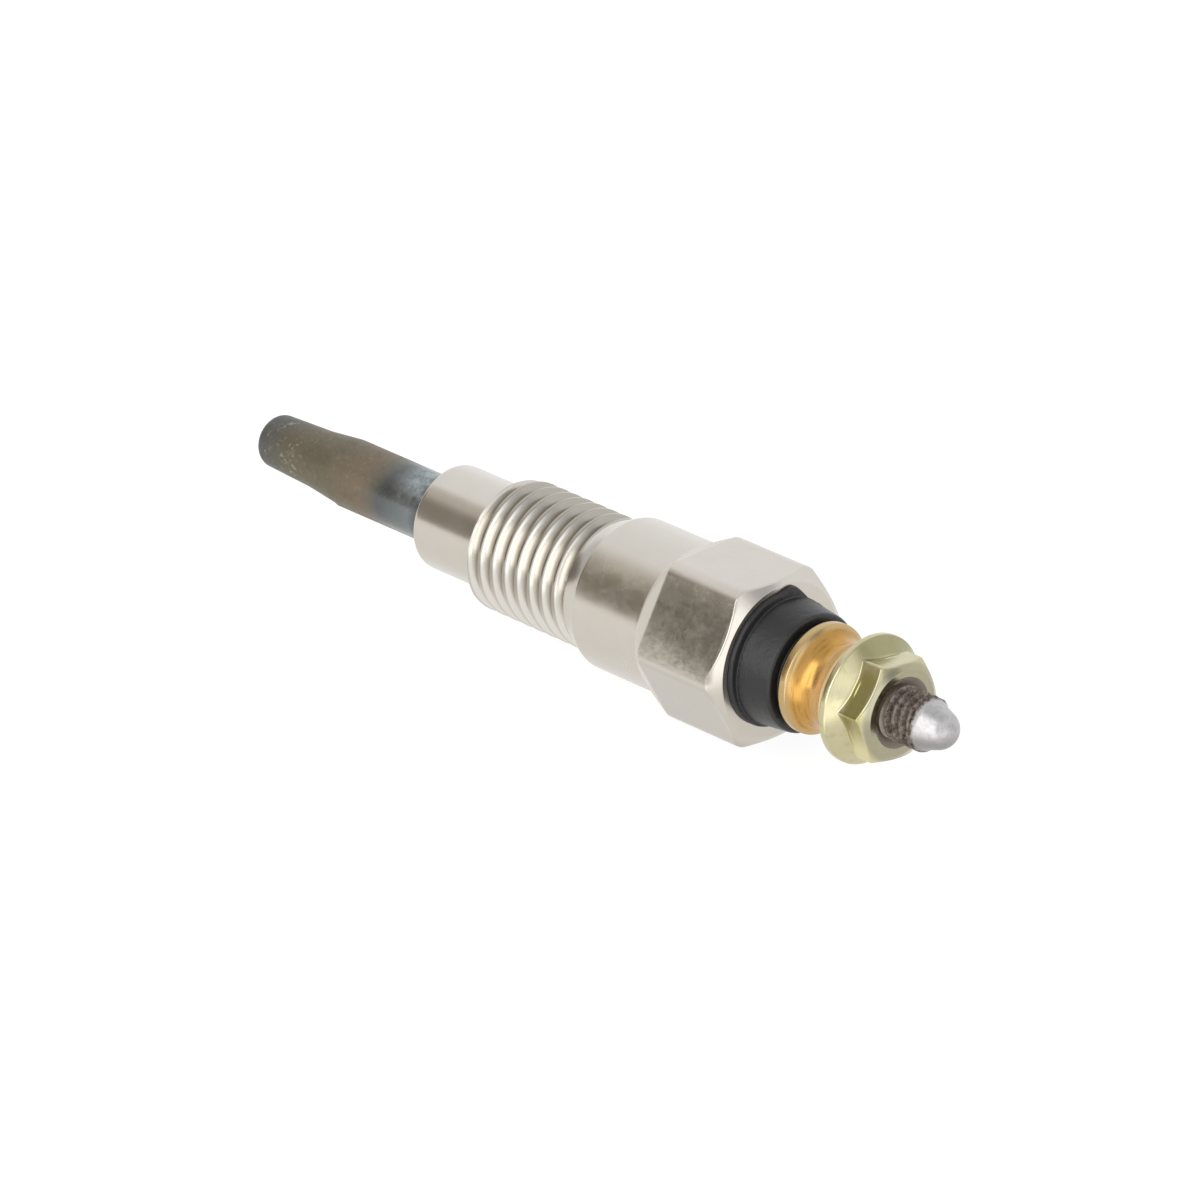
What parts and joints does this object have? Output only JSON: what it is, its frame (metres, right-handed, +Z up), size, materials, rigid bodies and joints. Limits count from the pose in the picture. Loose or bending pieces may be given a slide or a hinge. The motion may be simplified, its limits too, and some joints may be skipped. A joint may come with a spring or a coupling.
{
  "type": "diesel glow plug",
  "caption": "Sheathed-element glow plug: slim heater probe, threaded plated shell with a spanner hexagon, black insulating bush, crimped ring and a stud terminal with a flange nut.",
  "frame": {"origin": "on the plug's axis, at the plane where the thread ends and the conical shoulder begins", "axes": "+X along the axis towards the terminal, so the heater points to -X; +Z up, out of the hexagon flat opposite the one it lies on; +Y across"},
  "size_m": [0.0688, 0.0134, 0.012],
  "materials": {
    "nickel_plate": "satin nickel plate, slightly warm, with handling marks on the flats",
    "heat_alloy": "heat-resisting alloy with brown and blue heat tints and a dull dark tip",
    "heating_wire": "drawn resistance wire",
    "control_wire": "drawn nickel wire",
    "magnesia": "packed matt powder",
    "red_rubber": "matt heat-resisting rubber",
    "electrode_steel": "bare steel, darker in the thread",
    "black_rubber": "matt black rubber",
    "black_resin": "satin black moulded resin",
    "gold_brass": "bright amber-gold metal",
    "yellow_zinc": "pale yellow-green zinc plate"
  },
  "bodies": {
    "root": {"shell": "nickel_plate", "heater_sheath": "heat_alloy", "heating_coil": "heating_wire", "control_coil": "control_wire", "magnesia_filling": "magnesia", "sheath_seal": "red_rubber", "centre_electrode": "electrode_steel", "seal_ring": "black_rubber", "insulating_bush": "black_resin", "crimp_ring": "gold_brass", "flange_nut": "yellow_zinc"}
  },
  "joints": []
}
